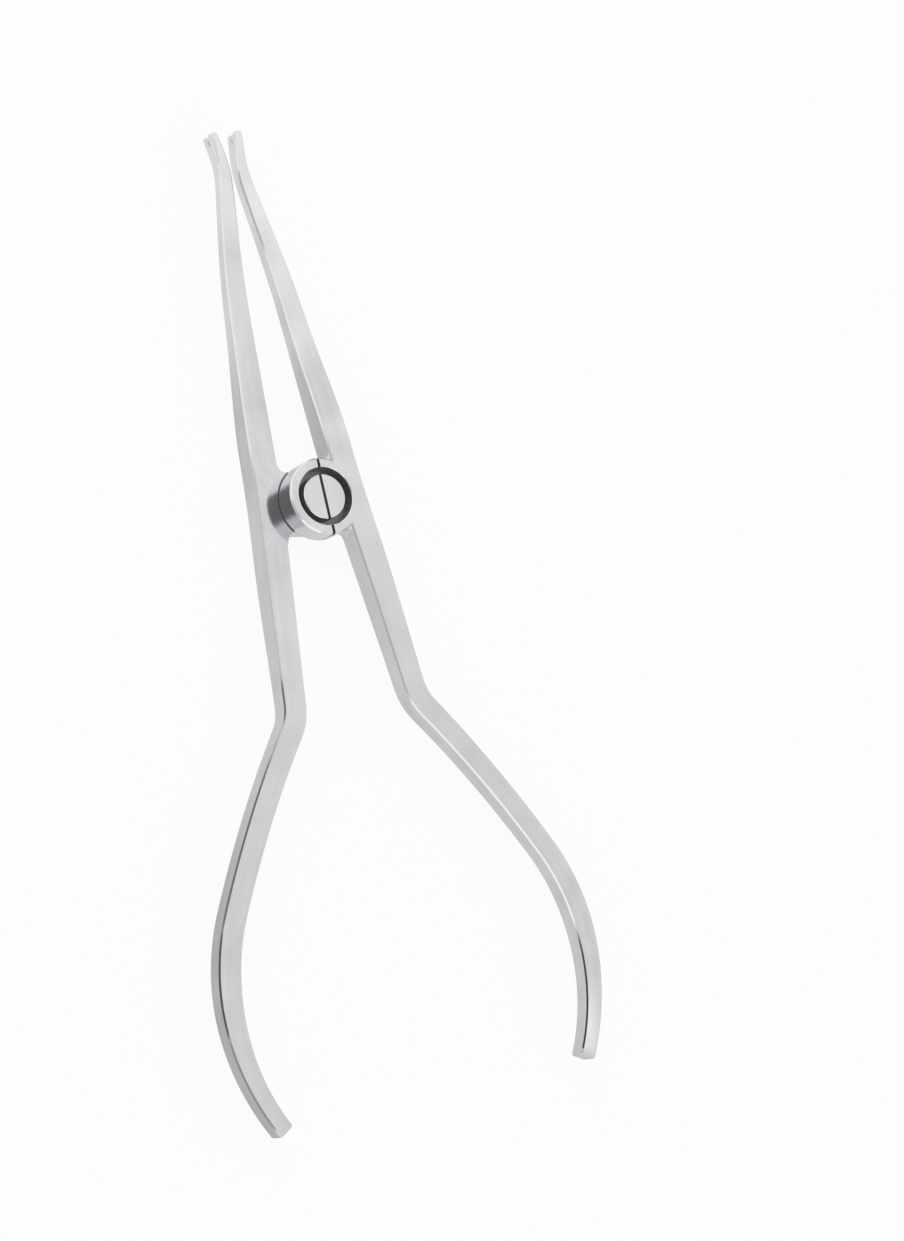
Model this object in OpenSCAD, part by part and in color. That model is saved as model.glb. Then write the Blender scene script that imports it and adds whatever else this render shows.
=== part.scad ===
// Ligature tying pliers: two slim arms that turn on a drum pivot and do not cross, so that
// squeezing the handles spreads the forked tips and draws the wire tight.
// Z is the pivot axis with the drum face up, +Y points to the tips, +X to the drum arm.
// The origin is on the pivot axis, level with the underside. Millimetres.

/* [Arms] */
// Length of the seat arm's beak from the pivot to its tip, along the bar
beak_len = 63.65; // [50:0.05:80]
// How much longer the drum arm's beak is
beak_extra = 0.4; // [0:0.1:1]
// Length of the seat arm's handle from the pivot to its end, along the bar
handle_len = 105.4; // [90:0.1:130]
// How much longer the drum arm's handle is
handle_extra = 1.4; // [0:0.1:3]
// Angle that each arm stands open from the middle line at rest
half_open_angle = 5.4; // [5:0.1:9]
// Distance from the pivot axis to the middle of the drum arm's bar
drum_arm_offset = 5.3; // [4.6:0.05:6]
// Distance from the pivot axis to the middle of the seat arm's bar
seat_arm_offset = 7.95; // [7.6:0.05:9]
// Thickness of a bar at the pivot
hub_t = 4.45; // [3.6:0.05:5.5]
// Width of a bar at the pivot
hub_w = 4.55; // [3.6:0.05:5.2]
// Flat ground on every long edge
edge_bevel = 0.25; // [0.1:0.05:0.4]

/* [Beak] */
// Width of a beak half way along
mid_w = 3.75; // [2.8:0.05:4.4]
// Thickness of a beak half way along
mid_t = 2.7; // [2.2:0.05:3.6]
// Width of the neck behind the tip
neck_w = 2.45; // [1.8:0.05:2.8]
// Thickness of the neck behind the tip
neck_t = 2.15; // [1.8:0.05:2.8]
// Width of the tip at its end
tip_w = 1.3; // [0.8:0.05:1.8]
// Thickness of the spread tip at its end, over both prongs
tip_t = 3.5; // [2.6:0.05:4]
// Outward turn of the drum arm's tip
drum_tip_angle = 14; // [8:0.5:20]
// Outward turn of the seat arm's tip
seat_tip_angle = 17.5; // [8:0.5:20]
// Depth of the wire notch in the tip
notch_depth = 1.9; // [0.8:0.1:2.4]
// Opening of the wire notch at the end of the tip
notch_w = 0.95; // [0.5:0.05:1.2]

/* [Handle] */
// Length of the straight shank from the pivot to the bend
shank_len = 33.5; // [28:0.5:40]
// Outward turn where the shank becomes the handle
bend_angle = 30.6; // [24:0.5:36]
// Radius of that bend along the middle of the bar
bend_r = 8.9; // [7:0.1:14]
// Inward turn of the upper grip
upper_angle = 9.4; // [5:0.2:14]
// Inward turn of the lower grip
lower_angle = 57; // [45:0.2:66]
// Width of a bar at the bend
bend_w = 4.05; // [3.4:0.05:4.8]
// Thickness of a bar at the bend
bend_t = 3.75; // [3.2:0.05:4.6]
// Width of the grip
grip_w = 3.85; // [3.2:0.05:4.6]
// Width at the end of the handle
end_w = 2.85; // [2.2:0.05:3.6]
// Thickness at the end of the handle
end_t = 3.25; // [2.6:0.05:4]

/* [Pivot] */
// Radius of the drum on the drum arm
drum_r = 6.5; // [6.2:0.05:7]
// Radius of the well in the drum face, the outer wall of the winding groove
well_r = 4.9; // [4.6:0.05:5.2]
// Depth of the well
well_depth = 2.7; // [2:0.1:3.2]
// Radius of the winding post, the head of the pivot screw
post_r = 3.8; // [3.4:0.05:4.2]
// How far the post's face lies below the drum face
post_drop = 0.37; // [0.1:0.05:0.8]
// Radius of the screw's shank, which ends flush with the underside
shank_r = 2.2; // [1.6:0.05:2.6]
// Width of the wire slot across the drum and the post
slot_w = 0.5; // [0.3:0.05:0.8]
// Depth of the wire slot in the drum
slot_depth = 1.6; // [1:0.1:2.2]
// Depth of the wire slot in the post
post_slot_depth = 1.2; // [0.8:0.1:1.4]
// Radius of the round seat on the other arm, below the drum
seat_r = 4.75; // [4.4:0.05:5.4]
// Extra height of the seat's neck on the beak side
neck_rise = 0.5; // [0:0.05:1]
// Radius of the inside corner of that neck on the beak side
beak_fillet = 1.1; // [0.6:0.1:1.8]
// Radius of the inside corner of that neck on the handle side
handle_fillet = 2.1; // [1.2:0.1:2.8]
// Radius of the inside corners where the drum meets its arm
drum_fillet = 0.8; // [0.5:0.1:1.2]
// Bevel round the drum face
drum_bevel = 0.3; // [0.1:0.05:0.5]
// Bevel round the well, the post and the underside of the drum
fine_bevel = 0.12; // [0.05:0.01:0.2]

/* [Clearances] */
// Radial play of the shank in the drum's bore
bore_play = 0.03; // [0.02:0.01:0.06]
// End play between the drum and the faces that hold it
end_play = 0.05; // [0.03:0.01:0.1]
// Gap round the screw where it is fast in the seat
fast_play = 0.01; // [0.01:0.005:0.02]

/* [Hidden] */

// Overrun of every cut
over = 0.5;
// Longest span of an arm between two sections
span = 1.2;
// Length over which a tip or handle end is rounded off, and how far each draws in at the end
end_round = 0.35;
tip_in_share = 0.35;
end_in_share = 0.7;

// Levels: underside of the drum, its face, the floor of the well, the post's underside and
// face, and the plane in which the tips and the handle ends of both arms lie
drum_z = hub_t + end_play;
face_z = drum_z + hub_t;
well_z = face_z - well_depth;
head_z = well_z + end_play;
post_z = face_z - post_drop;
mid_z = face_z / 2;
bore_r = shank_r + bore_play;

// Places of the sections that set an arm's shape, as shares of the beak and of the grip
flat_share = 0.12;
beak_mid_share = 0.48;
neck_share = 0.865;
neck_bow_share = 0.27;
tip_bow_share = 0.08;
upper_share = 0.47;
grip_shares = [0.3, 0.6];
level_share = 0.43;

// Small turns of the straight parts, and how far the handle still stands off the tips' plane
beak_angle = 2.1;
neck_angle = 4.9;
shank_angle = 1.3;
bend_rise_share = 0.42;
grip_rise_share = 0.15;
bend_end = shank_len + bend_r * bend_angle * PI / 180;
grip_len = handle_len - bend_end;

// Turns of an arm's path: where each starts, how long it is, and its angle outwards
function beak_turns(tip_angle) = [
    [0, beak_len * flat_share, beak_angle],
    [beak_len * beak_mid_share, beak_len * neck_bow_share, -neck_angle],
    [beak_len * neck_share, beak_len * tip_bow_share, tip_angle]
];
handle_turns = [
    [0, beak_len * flat_share, shank_angle],
    [shank_len, bend_end - shank_len, bend_angle],
    [bend_end, grip_len * upper_share, -upper_angle],
    [bend_end + grip_len * upper_share, grip_len * (1 - upper_share), -lower_angle]
];

// Width, thickness and rise over the tips' level, each at its distance from the pivot
beak_w = [
    [0, hub_w], [beak_len * flat_share, hub_w], [beak_len * beak_mid_share, mid_w],
    [beak_len * neck_share, neck_w], [beak_len, tip_w]
];
beak_t = [
    [0, hub_t], [beak_len * flat_share, hub_t], [beak_len * beak_mid_share, mid_t],
    [beak_len * neck_share, neck_t], [beak_len, tip_t]
];
beak_rise = [
    [0, mid_z - hub_t / 2], [beak_len * flat_share, mid_z - hub_t / 2],
    [beak_len * beak_mid_share, (hub_t - mid_t) / 2], [beak_len * neck_share, 0], [beak_len, 0]
];
handle_w = [
    [0, hub_w], [beak_len * flat_share, hub_w], [shank_len, bend_w],
    [bend_end + grip_len * grip_shares[0], grip_w], [bend_end + grip_len * grip_shares[1], grip_w],
    [handle_len, end_w]
];
handle_t = [
    [0, hub_t], [beak_len * flat_share, hub_t], [shank_len, bend_t], [handle_len, end_t]
];
handle_rise = [
    [0, mid_z - hub_t / 2], [beak_len * flat_share, mid_z - hub_t / 2],
    [shank_len, bend_t * bend_rise_share],
    [bend_end + grip_len * level_share, bend_t * grip_rise_share], [handle_len, 0]
];

function clamp01(v) = max(0, min(1, v));

// A value at distance s from a table of [distance, value], eased so that it has no kinks and
// never passes the values in the table
function rate(k, i) = (k[i + 1][1] - k[i][1]) / (k[i + 1][0] - k[i][0]);
function slope(k, i) =
    i <= 0 || i >= len(k) - 1 || rate(k, i - 1) * rate(k, i) <= 0 ? 0
    : 2 * rate(k, i - 1) * rate(k, i) / (rate(k, i - 1) + rate(k, i));
function ease(k, i, u, d) =
    (2 * u ^ 3 - 3 * u ^ 2 + 1) * k[i][1] + (u ^ 3 - 2 * u ^ 2 + u) * d * slope(k, i)
    + (3 * u ^ 2 - 2 * u ^ 3) * k[i + 1][1] + (u ^ 3 - u ^ 2) * d * slope(k, i + 1);
function find(k, s, i = 0) = i >= len(k) - 2 || s <= k[i + 1][0] ? i : find(k, s, i + 1);
function at(k, s) =
    let (i = find(k, s), d = k[i + 1][0] - k[i][0]) ease(k, i, clamp01((s - k[i][0]) / d), d);

// Heading at distance s, in degrees outwards from the arm's own Y axis
function heading(turns, s, i = 0) =
    i == len(turns) ? 0
    : turns[i][2] * clamp01((s - turns[i][0]) / turns[i][1]) + heading(turns, s, i + 1);

// Distances of the sections from the pivot to the end, the last ones close together
function stops(length) =
    let (n = ceil((length - end_round) / span))
    concat([for (i = [0 : n]) (length - end_round) * i / n], [length - end_round / 3, length]);

// Points of a path that starts beside the pivot, from the distances of its sections
function trace(turns, dist, i = 0, p = [0, 0]) =
    i == len(dist) - 1 ? [p]
    : let (h = heading(turns, (dist[i] + dist[i + 1]) / 2), d = dist[i + 1] - dist[i])
      concat([p], trace(turns, dist, i + 1, p + d * [sin(h), cos(h)]));

// One section: the eight corners of a bevelled bar, seen along the path
function section(p, out, w, t, z, shrink) =
    let (a = w / 2 - shrink, b = t / 2 - shrink, e = edge_bevel)
    [for (c = [[a, b - e], [a - e, b], [e - a, b], [-a, b - e],
               [-a, e - b], [e - a, -b], [a - e, -b], [a, e - b]])
        [p[0] + c[0] * out[0], p[1] + c[0] * out[1], z + c[1]]];

// Sections of one side of the pivot; dir is 1 for the beak and -1 for the handle
function side(dir, length, turns, w, t, rise, offset, up, in_share) =
    let (dist = stops(length), path = trace(turns, dist))
    [for (i = [0 : len(dist) - 1])
        let (s = dist[i], h = heading(turns, s), past = (s - length + end_round) / end_round,
             shrink = past > 0 ? end_round * in_share * (1 - sqrt(1 - past ^ 2)) : 0)
        section([offset + path[i][0], dir * path[i][1]], [cos(h), -dir * sin(h)],
                at(w, s), at(t, s), mid_z + up * at(rise, s), shrink)];

// A closed solid through a list of eight-cornered sections
module loft(rings) {
    n = len(rings);
    m = len(rings[0]);
    polyhedron(
        points = [for (r = rings) each r],
        faces = concat(
            [[for (j = [0 : m - 1]) j]],
            [for (i = [0 : n - 2], j = [0 : m - 1]) let (k = (j + 1) % m)
                each [[i * m + j, (i + 1) * m + j, i * m + k],
                      [i * m + k, (i + 1) * m + j, (i + 1) * m + k]]],
            [[for (j = [0 : m - 1]) n * m - 1 - j]]
        )
    );
}

// The bar of one arm with its forked tip; up is 1 above the tips' level and -1 below it
module bar(offset, up, beak_end, handle_end, tip_angle) {
    turns = beak_turns(tip_angle);
    beak = side(1, beak_end, turns, beak_w, beak_t, beak_rise, offset, up, tip_in_share);
    handle = side(-1, handle_end, handle_turns, handle_w, handle_t, handle_rise, offset, up,
                  end_in_share);
    tip = trace(turns, stops(beak_end));
    difference() {
        loft([for (i = [len(beak) - 1 : -1 : 0]) beak[i], for (i = [1 : len(handle) - 1]) handle[i]]);
        translate([offset + tip[len(tip) - 1][0], tip[len(tip) - 1][1], mid_z])
            rotate([0, 0, -heading(turns, beak_end)])
                wire_notch();
    }
}

// The V that takes the wire, cut across the tip from its outer to its inner side
module wire_notch() {
    reach = tip_w + neck_w;
    flare = notch_w / 2 * over / notch_depth;
    root = notch_w / 6;
    rotate([90, 0, 90])
        translate([0, 0, -reach / 2])
            linear_extrude(reach)
                union() {
                    polygon([[over, notch_w / 2 + flare], [root - notch_depth, root],
                             [root - notch_depth, -root], [over, -notch_w / 2 - flare]]);
                    translate([root - notch_depth, 0])
                        circle(r = root, $fn = 24);
                }
}

// Fills the inside corner between the drum and the bar beside it
module drum_corner(y_sign, edge_x) {
    cx = edge_x - drum_fillet;
    cy = sqrt((drum_r + drum_fillet) ^ 2 - cx ^ 2);
    touch = drum_r / (drum_r + drum_fillet);
    mirror([0, y_sign < 0 ? 1 : 0, 0])
        difference() {
            polygon([[cx, cy], [cx * touch, cy * touch], [edge_x, drum_r / 2],
                     [edge_x + hub_w / 4, drum_r / 2], [edge_x + hub_w / 4, cy]]);
            translate([cx, cy])
                circle(r = drum_fillet, $fn = 64);
        }
}

// The arm that carries the drum with the winding well
module drum_arm() {
    edge_x = drum_arm_offset - hub_w / 2;
    color("silver")
        difference() {
            union() {
                rotate(half_open_angle)
                    bar(drum_arm_offset, 1, beak_len + beak_extra, handle_len + handle_extra,
                        drum_tip_angle);
                translate([0, 0, drum_z]) {
                    cylinder(h = fine_bevel, r1 = drum_r - fine_bevel, r2 = drum_r, $fn = 128);
                    translate([0, 0, fine_bevel])
                        cylinder(h = face_z - drum_bevel - drum_z - fine_bevel, r = drum_r, $fn = 128);
                }
                translate([0, 0, face_z - drum_bevel])
                    cylinder(h = drum_bevel, r1 = drum_r, r2 = drum_r - drum_bevel, $fn = 128);
                rotate(half_open_angle)
                    translate([0, 0, mid_z + edge_bevel])
                        linear_extrude(hub_t - 2 * edge_bevel)
                            for (s = [-1, 1]) drum_corner(s, edge_x);
            }
            translate([0, 0, well_z])
                cylinder(h = well_depth + over, r = well_r, $fn = 128);
            translate([0, 0, face_z - fine_bevel])
                cylinder(h = fine_bevel + over, r1 = well_r, r2 = well_r + fine_bevel + over, $fn = 128);
            translate([0, 0, drum_z - over])
                cylinder(h = well_z - drum_z + 2 * over, r = bore_r, $fn = 96);
            translate([-slot_w / 2, -drum_r - over, face_z - slot_depth])
                cube([slot_w, 2 * (drum_r + over), slot_depth + over]);
        }
}

// Outline of the round seat and its neck to the bar, with round inside corners
module seat_outline(edge_x) {
    circle(r = seat_r, $fn = 128);
    neck_corner(1, edge_x, seat_r + neck_rise, beak_fillet);
    neck_corner(-1, edge_x, seat_r, handle_fillet);
}

// Half of the neck, from the middle to its corner with the bar
module neck_corner(y_sign, edge_x, top, fillet) {
    scale([1, y_sign])
        difference() {
            union() {
                polygon([[0, 0], [0, seat_r], [edge_x - fillet, top], [edge_x + hub_w / 2, top],
                         [edge_x + hub_w / 2, 0]]);
                translate([edge_x - fillet, 0])
                    square([fillet + hub_w / 2, top + fillet]);
            }
            translate([edge_x - fillet, top + fillet])
                circle(r = fillet, $fn = 96);
        }
}

// The arm below, with the flat seat that the drum turns on and the hole that holds the screw
module seat_arm() {
    color("silver")
        difference() {
            mirror([1, 0, 0])
                rotate(half_open_angle) {
                    bar(seat_arm_offset, -1, beak_len, handle_len, seat_tip_angle);
                    linear_extrude(hub_t)
                        seat_outline(seat_arm_offset - hub_w / 2);
                }
            translate([0, 0, -over])
                cylinder(h = hub_t + 2 * over, r = shank_r + fast_play, $fn = 96);
        }
}

// The slotted screw: its head is the winding post, its shank is fast in the seat
module pivot_screw() {
    color("gainsboro")
        difference() {
            union() {
                cylinder(h = head_z + fine_bevel, r = shank_r, $fn = 96);
                translate([0, 0, head_z])
                    cylinder(h = post_z - fine_bevel - head_z, r = post_r, $fn = 128);
                translate([0, 0, post_z - fine_bevel])
                    cylinder(h = fine_bevel, r1 = post_r, r2 = post_r - fine_bevel, $fn = 128);
            }
            translate([-slot_w / 2, -post_r - over, post_z - post_slot_depth])
                cube([slot_w, 2 * (post_r + over), post_slot_depth + over]);
        }
}

drum_arm();
seat_arm();
pivot_screw();
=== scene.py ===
from math import radians

import bpy
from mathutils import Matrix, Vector


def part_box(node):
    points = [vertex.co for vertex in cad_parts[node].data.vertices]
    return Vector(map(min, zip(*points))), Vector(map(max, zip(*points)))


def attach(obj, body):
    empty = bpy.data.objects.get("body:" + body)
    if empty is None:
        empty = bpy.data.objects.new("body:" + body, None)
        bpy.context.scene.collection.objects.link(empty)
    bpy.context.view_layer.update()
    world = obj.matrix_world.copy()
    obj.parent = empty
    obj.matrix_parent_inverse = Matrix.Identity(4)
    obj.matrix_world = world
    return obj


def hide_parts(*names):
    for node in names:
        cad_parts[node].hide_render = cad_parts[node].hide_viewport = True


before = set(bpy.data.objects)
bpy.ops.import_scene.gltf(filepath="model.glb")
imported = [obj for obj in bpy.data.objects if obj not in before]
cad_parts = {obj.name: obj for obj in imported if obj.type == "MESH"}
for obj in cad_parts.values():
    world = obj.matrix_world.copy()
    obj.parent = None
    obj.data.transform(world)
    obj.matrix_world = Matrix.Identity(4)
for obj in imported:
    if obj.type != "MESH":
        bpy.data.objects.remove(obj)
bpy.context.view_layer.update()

# Seat arm: the lower forging, with a forked tip, a long bar, the flat round seat below the
# drum, and a bowed handle. Stainless steel, ground along its length, with polished edges and
# a polished seat. The pivot screw is fast in it.


class Value:
    """The output of a node; a sum on it adds the Math nodes that work it out."""

    def __init__(self, tree, socket):
        self.tree = tree
        self.socket = socket

    def math(self, operation, *others):
        inputs = {0: self, **dict(enumerate(others, 1))}
        return self.tree.node("ShaderNodeMath", inputs, operation=operation)

    def __add__(self, other):
        return self.math("ADD", other)

    def __sub__(self, other):
        return self.math("SUBTRACT", other)

    def __rsub__(self, other):
        return self.math("MULTIPLY", -1).math("ADD", other)

    def __mul__(self, other):
        return self.math("MULTIPLY", other)

    def __abs__(self):
        return self.math("ABSOLUTE")

    __radd__ = __add__
    __rmul__ = __mul__

    def or_more(self, other):
        return self.math("MAXIMUM", other)

    def rises(self, low, high):
        """0 below low, 1 above high, smooth between; falls instead where low is over high."""
        inputs = {"Value": self, "From Min": low, "From Max": high}
        return self.tree.node("ShaderNodeMapRange", inputs, interpolation_type="SMOOTHSTEP")


class Tree:
    """The node tree of a material or of the room, empty at first."""

    def __init__(self, owner):
        owner.use_nodes = True
        self.nodes = owner.node_tree.nodes
        self.links = owner.node_tree.links
        self.nodes.clear()

    def node(self, kind, inputs=None, output=0, **settings):
        """Adds a node, sets it, and gives its inputs their values or links."""
        made = self.nodes.new(kind)
        for name, setting in settings.items():
            setattr(made, name, setting)
        for name, value in (inputs or {}).items():
            if isinstance(value, Value):
                self.links.new(value.socket, made.inputs[name])
            else:
                made.inputs[name].default_value = value
        return Value(self, made.outputs[output]) if made.outputs else None

    def place(self):
        return self.node("ShaderNodeTexCoord", output="Object")

    def part(self, vector, axis):
        return self.node("ShaderNodeSeparateXYZ", {0: vector}, output=axis)

    def length(self, vector):
        return self.node("ShaderNodeVectorMath", {0: vector}, output="Value", operation="LENGTH")

    def stretched(self, vector, factors):
        return self.node("ShaderNodeVectorMath", {0: vector, 1: factors}, operation="MULTIPLY")

    def noise(self, place, scale, detail):
        """Cloudy noise that swings up to a half to both sides of 0."""
        inputs = {"Vector": place, "Scale": scale, "Detail": detail}
        return self.node("ShaderNodeTexNoise", inputs) - 0.5

    def mix(self, share, first, second):
        """Goes from the first colour to the second."""
        first, second = ((*colour, 1) if isinstance(colour, tuple) else colour
                         for colour in (first, second))
        return self.node("ShaderNodeMix", {0: share, 6: first, 7: second}, output=2,
                         data_type="RGBA")


def clean_copy(node_name, piece_name):
    """A piece with the shape of a CAD node, its corners joined and its curves shaded smooth."""
    same_corner = 1e-6
    sharpest_curve = radians(25)
    piece = bpy.data.objects.new(piece_name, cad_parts[node_name].data.copy())
    bpy.context.collection.objects.link(piece)
    bpy.ops.object.select_all(action="DESELECT")
    bpy.context.view_layer.objects.active = piece
    piece.select_set(True)
    bpy.ops.object.mode_set(mode="EDIT")
    bpy.ops.mesh.select_all(action="SELECT")
    bpy.ops.mesh.remove_doubles(threshold=same_corner)
    bpy.ops.mesh.customdata_custom_splitnormals_clear()
    bpy.ops.object.mode_set(mode="OBJECT")
    bpy.ops.object.shade_smooth_by_angle(angle=sharpest_curve)
    return piece


def store_grain(arm):
    """Stores how far each corner lies from the middle of its bar, and how far along it."""
    slice_length = 0.002
    slices = {}
    for corner in arm.data.vertices:
        slices.setdefault(round(corner.co.y / slice_length), []).append(corner.co.x)
    grain = arm.data.attributes.new("grain", "FLOAT_VECTOR", "POINT")
    for corner in arm.data.vertices:
        slice_below = int(corner.co.y // slice_length)
        share = corner.co.y / slice_length - slice_below
        middles = []
        for number in (slice_below, slice_below + 1):
            sides = slices.get(number) or [corner.co.x]
            middles.append((min(sides) + max(sides)) / 2)
        middle = middles[0] * (1 - share) + middles[1] * share
        grain.data[corner.index].vector = (corner.co.x - middle, corner.co.y, corner.co.z)


class SteelTree(Tree):
    """A steel's tree, with what its grain, polish and painted shade are worked out from."""

    def __init__(self, material):
        super().__init__(material)
        self.spot = self.place()
        self.height = self.part(self.spot, "Z")
        self.from_axis = self.length(self.stretched(self.spot, (1, 1, 0)))
        normal = self.node("ShaderNodeNewGeometry", output="Normal")
        self.levelness = abs(self.part(normal, "Z"))


def grind(piece, steel_name, grain_of, polish_of, dark_of):
    """Gives a piece ground stainless steel; each function makes a mask or a grain in its tree."""
    bright_steel = (0.74, 0.745, 0.762)
    dull_steel = (0.635, 0.64, 0.655)
    edge_steel = (0.75, 0.755, 0.77)
    # The last colour is painted shade, for the gap at the seat and the hollows round the post.
    painted_shade_steel = (0.24, 0.24, 0.25)
    mean_wear = 0.45
    satin = 0.3
    mean_relief = 0.5
    grain_depth = 0.00002

    material = bpy.data.materials.new(steel_name)
    piece.data.materials.clear()
    piece.data.materials.append(material)
    tree = SteelTree(material)
    grain_place = grain_of(tree)
    grain = tree.noise(grain_place, 1, 4)
    streak = tree.noise(grain_place, 0.12, 2)
    cloud = tree.noise(tree.spot, 150, 3)
    scratch = tree.noise(tree.spot, 1400, 2)
    # A bevel leans at 45 degrees, which is a levelness of 0.7.
    edge = tree.levelness.rises(0.45, 0.6) * tree.levelness.rises(0.92, 0.8)
    polish = polish_of(tree)
    dark = dark_of(tree)

    wear = cloud * 1.8 + streak * 1.2 + grain * 0.5 + mean_wear
    colour = tree.mix(wear, bright_steel, dull_steel)
    colour = tree.mix(edge * 0.6, colour, edge_steel)
    # Painted shade: where the dark mask is, the steel is painted dark for the shade in the gap
    # and the hollows.
    colour = tree.mix(dark, colour, painted_shade_steel)
    rough = satin + cloud * 0.16 + grain * 0.14
    rough = rough * (1 - edge * 0.7) * (1 - polish * 0.6) + dark * 0.2
    relief = (mean_relief + grain * 0.6 + scratch * 0.4) * (1 - polish * 0.95)
    bump = tree.node("ShaderNodeBump", {"Height": relief, "Strength": 0.14,
                                        "Distance": grain_depth})
    surface = tree.node("ShaderNodeBsdfPrincipled", {
        "Base Color": colour, "Roughness": rough, "Metallic": 1 - dark * 0.3, "Normal": bump})
    tree.node("ShaderNodeOutputMaterial", {"Surface": surface})


def along_bar(tree):
    """Fine lines that run along the bar."""
    lines_across = 9000
    lines_along = 220
    stored = tree.node("ShaderNodeAttribute", output="Vector", attribute_name="grain")
    return tree.stretched(stored, (lines_across, lines_along, lines_across))


seat_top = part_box("drum_arm")[1].z / 2
seat_radius = 0.0095
seat_run_out = 0.002
# The ring of painted shade in the gap where the drum's rim sits on the seat.
gap_shade_inner = 0.0063
gap_shade_outer = 0.00672
soft_edge = 0.0001


def near_seat_top(tree):
    return tree.height.rises(seat_top - 4 * soft_edge, seat_top - 2 * soft_edge)


def seat_polish(tree):
    """The seat, running out softly into the bar."""
    return tree.from_axis.rises(seat_radius + seat_run_out, seat_radius) * near_seat_top(tree)


def seat_gap_shade(tree):
    """The thin line of painted shade where the drum's rim turns on the seat, for the gap between
    them.
    """
    outside = tree.from_axis.rises(gap_shade_inner, gap_shade_inner + soft_edge)
    inside = tree.from_axis.rises(gap_shade_outer, gap_shade_outer - soft_edge)
    return outside * inside * near_seat_top(tree)


seat_arm = clean_copy("seat_arm", "seat_arm_forging")
store_grain(seat_arm)
grind(seat_arm, "seat_arm_steel", along_bar, seat_polish, seat_gap_shade)
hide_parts("seat_arm")
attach(seat_arm, "seat_half")

# Drum arm: the upper forging, the mirror of the other but for the round drum at its pivot.
# The drum has a ground face, a deep well round the post and a fine slot for the wire, both
# painted dark for their shade, and a polished side. It turns on the seat with a hair's breadth of
# play.

drum_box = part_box("drum_arm")
drum_face = drum_box[1].z
drum_radius = -drum_box[0].x
well_radius = 0.0049
slot_half = 0.00025
# Painted shade: the well and slot are painted dark below these depths, and the drum's lower rim
# up to this height above the seat, for the gap.
clean_depth = 0.00005
shade_depth = 0.00022
gap_shade_height = 0.00016
hollow_shade = 0.8


def drum_polish(tree):
    """The drum's upright side."""
    drum = tree.from_axis.rises(drum_radius + 2 * soft_edge, drum_radius + soft_edge)
    return drum * tree.levelness.rises(0.5, 0.3)


def drum_painted_shade(tree):
    """Painted shade in the well and the slot below the face, and on the drum's lower rim by the
    gap to the seat.
    """
    across = abs(tree.part(tree.spot, "X"))
    below_face = tree.height.rises(drum_face - clean_depth, drum_face - shade_depth)
    well = tree.from_axis.rises(well_radius + soft_edge, well_radius + 0.5 * soft_edge)
    slot = (across.rises(slot_half + 0.4 * soft_edge, slot_half + 0.2 * soft_edge)
            * tree.from_axis.rises(drum_radius + soft_edge, drum_radius))
    gap_shade_top = seat_top + gap_shade_height
    rim = (tree.height.rises(gap_shade_top + 0.8 * soft_edge, gap_shade_top)
           * tree.from_axis.rises(drum_radius + 4 * soft_edge, drum_radius + soft_edge))
    return (below_face * well.or_more(slot) * hollow_shade).or_more(rim)


drum_arm = clean_copy("drum_arm", "drum_arm_forging")
store_grain(drum_arm)
grind(drum_arm, "drum_arm_steel", along_bar, drum_polish, drum_painted_shade)
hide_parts("drum_arm")
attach(drum_arm, "drum_half")

# Pivot screw: a turned steel screw through the drum into the seat. Its head is the post that
# the wire winds round, with a turned face and a sawn slot in line with the drum's.

post_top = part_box("pivot_screw")[1].z
screw_end = 0.0004
end_polish = 0.4


def turned(tree):
    """Fine rings round the pivot axis."""
    rings_outward = 30000
    rings_upward = 3000
    return tree.node("ShaderNodeCombineXYZ", {"X": tree.from_axis * rings_outward,
                                              "Z": tree.height * rings_upward})


def screw_polish(tree):
    """The lower end, flush with the seat's underside."""
    return tree.height.rises(screw_end + 2 * soft_edge, screw_end) * end_polish


def post_painted_shade(tree):
    """Painted shade on all that stands in the well, and in the slot."""
    return tree.height.rises(post_top - soft_edge, post_top - 3 * soft_edge) * hollow_shade


screw = clean_copy("pivot_screw", "winding_post")
grind(screw, "post_steel", turned, screw_polish, post_painted_shade)
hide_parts("pivot_screw")
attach(screw, "seat_half")

# Floor and room: a white floor that keeps a faint shadow, a white room and two soft lamps.
# The steel mirrors the floor a little dimmer, and the room brighter towards the tips, so
# that its sides and faces stand apart.

floor_material = bpy.data.materials.new("white_floor")
tree = Tree(floor_material)
seen = tree.node("ShaderNodeLightPath", output="Is Camera Ray")
mirrored = tree.node("ShaderNodeLightPath", output="Is Glossy Ray")
place = tree.place()
beside_tips = tree.part(place, "Y").rises(0.015, 0.062)
left_of_drum = tree.part(place, "X").rises(-0.016, -0.034)
# Near the drum the mirrored floor is darker still: painted shade for the space under the arms.
before_drum = tree.node("ShaderNodeVectorMath", {0: place, 1: (0, -0.012, 0)}, operation="ADD")
near_drum = tree.length(before_drum).rises(0.02, 0.004)
dimming = 0.2 - beside_tips * 0.2 + left_of_drum * 0.2 + near_drum * 0.12
whiteness = tree.mix(mirrored * dimming, (1, 1, 1), (0, 0, 0))
bright_floor = tree.node("ShaderNodeEmission", {"Color": whiteness, "Strength": 1})
painted_floor = tree.node("ShaderNodeBsdfDiffuse", {"Color": (0.9, 0.9, 0.9, 1)})
bright_share = seen.or_more(mirrored) * 0.92
shade = tree.node("ShaderNodeMixShader", {0: bright_share, 1: painted_floor, 2: bright_floor})
tree.node("ShaderNodeOutputMaterial", {"Surface": shade})
floor_gap = 0.0002
bpy.ops.mesh.primitive_plane_add(size=6, location=(0, 0, -floor_gap))
floor = bpy.context.object
floor.name = "floor"
floor.data.materials.append(floor_material)

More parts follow.
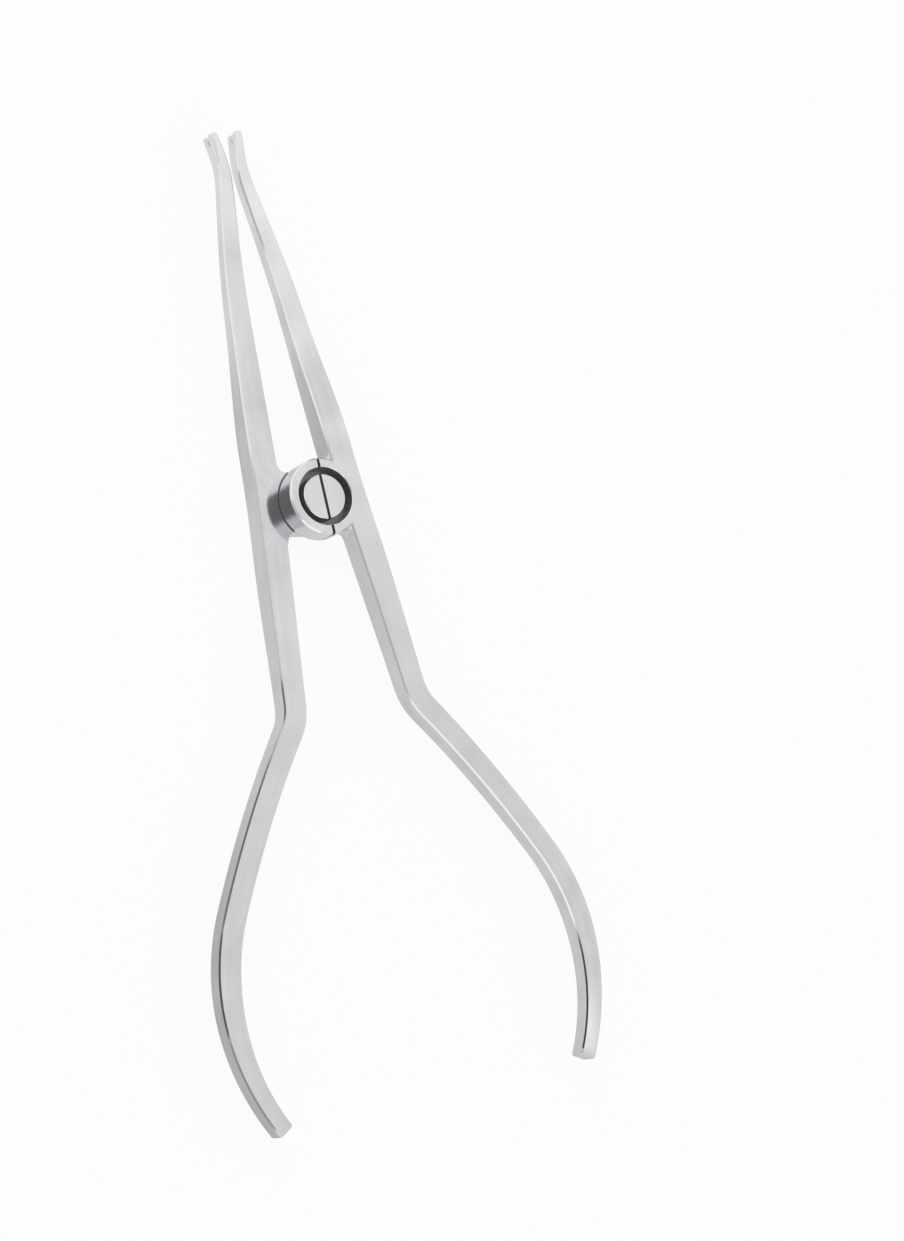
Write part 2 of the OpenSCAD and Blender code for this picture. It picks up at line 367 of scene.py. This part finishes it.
world = bpy.data.worlds.new("white_room")
bpy.context.scene.world = world
tree = Tree(world)
seen = tree.node("ShaderNodeLightPath", output="Is Camera Ray")
mirrored = tree.node("ShaderNodeLightPath", output="Is Glossy Ray")
direction = tree.node("ShaderNodeTexCoord", output="Generated")
room_glow = 0.7
mirrored_glow = 0.865 + tree.part(direction, "Y").rises(0.16, 0.235) * 0.2
room = tree.node("ShaderNodeBackground", {
    "Color": (1, 1, 1, 1),
    "Strength": room_glow + seen * (1 - room_glow) + mirrored * (mirrored_glow - room_glow)})
tree.node("ShaderNodeOutputWorld", {"Surface": room})

for name, spot, size, power in (("key_lamp", (-0.2, 0.8, 0.8), 0.7, 2.0),
                                ("fill_lamp", (0.2, -0.9, 0.5), 0.6, 1.0)):
    lamp = bpy.data.lights.new(name, "AREA")
    lamp.size = size
    lamp.energy = power
    lamp_object = bpy.data.objects.new(name, lamp)
    lamp_object.location = spot
    lamp_object.rotation_euler = (-Vector(spot)).to_track_quat("-Z", "Y").to_euler()
    lamp_object.visible_glossy = False
    bpy.context.collection.objects.link(lamp_object)

# Cards: oval reflectors with soft edges that only the steel mirrors. The dark ones draw the
# dark lines on the bevels and the patch on the drum, the bright ones the light lines. Each has
# its place, the point it faces and its half size in millimetres, its glow and its solid share.

for name, spot, aim, size, glow, solid_share in (
        ("camera_shape", (-210, 80, 370), (0, 0, 0), (290, 150), 0.2, 0.55),
        ("tripod_shape", (-136, -35, 106), (0, 0, 0), (80, 20), 0.55, 0.8),
        ("side_softbox", (-60, -200, 90), (0, 0, 0), (90, 35), 1.18, 0.8),
        ("shank_card", (-24.4, -9, 11.3), (-14.4, -10, 11.3), (24, 2), 0.7, 0.8),
        ("handle_card", (-34.5, -42, 10.7), (-26.2, -47.7, 10.7), (26, 2), 0.2, 0.8),
        ("belly_card", (-49, -70, 12), (-39.1, -71.6, 12), (18, 2), 0.1, 0.8),
        ("heel_card", (-46.1, -94.6, 11.6), (-36.6, -91.3, 11.6), (14.5, 2), 0.35, 0.8),
        ("tip_card", (-12.6, 54, 13), (-2.6, 54, 13), (8, 2), 0.6, 0.8),
        ("end_card", (17.3, -87.4, 14), (27.3, -87.4, 14), (7, 2.6), 0.08, 0.8),
        ("corner_softbox", (-118, -145, 109), (29, -72, 6), (34, 20), 1.18, 0.8),
        ("end_softbox", (33.9, -93.7, 16), (27.3, -93, 6), (7, 1.6), 1.4, 0.8),
        ("tip_softbox", (24, 78, 45), (1, 52, 6), (24, 20), 1.12, 0.8),
        ("ramp_card", (15, 26, 23), (5, 18, 8), (8, 9), 0.86, 0.8)):
    spot, aim, size = (Vector(lengths) / 1000 for lengths in (spot, aim, size))
    card_material = bpy.data.materials.new(name)
    tree = Tree(card_material)
    from_middle = tree.length(tree.place())
    shine = tree.node("ShaderNodeEmission", {"Color": (1, 1, 1, 1), "Strength": glow})
    clear = tree.node("ShaderNodeBsdfTransparent")
    edge_share = from_middle.rises(solid_share, 1)
    soft = tree.node("ShaderNodeMixShader", {0: edge_share, 1: shine, 2: clear})
    tree.node("ShaderNodeOutputMaterial", {"Surface": soft})
    bpy.ops.mesh.primitive_circle_add(vertices=48, radius=1, fill_type="NGON")
    card = bpy.context.object
    card.name = name
    card.location = spot
    card.rotation_euler = (spot - aim).to_track_quat("Z", "Y").to_euler()
    card.scale = (*size, 1)
    card.data.materials.append(card_material)
    card.visible_camera = card.visible_shadow = card.visible_diffuse = False

# Camera: where the photograph was taken from, worked out from the ovals of the drum and the
# outlines of both arms, with the lens that fits them.

lens = bpy.data.cameras.new("photo_view")
lens.sensor_width = 36
lens.lens = 70.55
camera = bpy.data.objects.new("photo_view", lens)
camera.location = (-0.19746, -0.06838, 0.34913)
camera.rotation_euler = [radians(angle) for angle in (14.189, -30.034, -15.092)]
bpy.context.collection.objects.link(camera)
bpy.context.scene.camera = camera
bpy.context.scene.view_settings.view_transform = "Standard"
